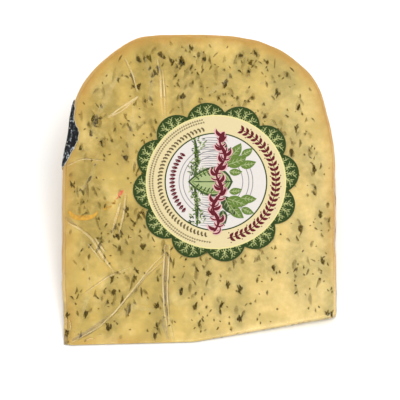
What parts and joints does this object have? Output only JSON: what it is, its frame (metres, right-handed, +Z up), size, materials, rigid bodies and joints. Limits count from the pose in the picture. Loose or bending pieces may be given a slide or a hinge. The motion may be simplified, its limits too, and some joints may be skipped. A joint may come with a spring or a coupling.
{
  "type": "cheese wedge",
  "caption": "Wedge of herbed semi-hard cheese with a thin coated rind, wrapped tight in clear film, with a round scalloped label on its upper cut face.",
  "frame": {"origin": "middle of the underside of the wrapped wedge, on the surface that it lies on", "axes": "+Y along the cut face from the blunt tip to the rim, +X across the wheel's thickness to the flat side without the sticker, +Z up from the lower cut face"},
  "size_m": [0.105, 0.1242, 0.0394],
  "materials": {
    "paste": "satin",
    "coat": "satin",
    "film": "gloss",
    "label": "satin",
    "sticker": "satin",
    "paring": "satin"
  },
  "bodies": {
    "root": {"cheese_paste": "paste", "rind_coat": "coat", "film_wrap": "film", "face_label": "label", "side_label": "sticker", "coat_paring": "paring"}
  },
  "joints": []
}
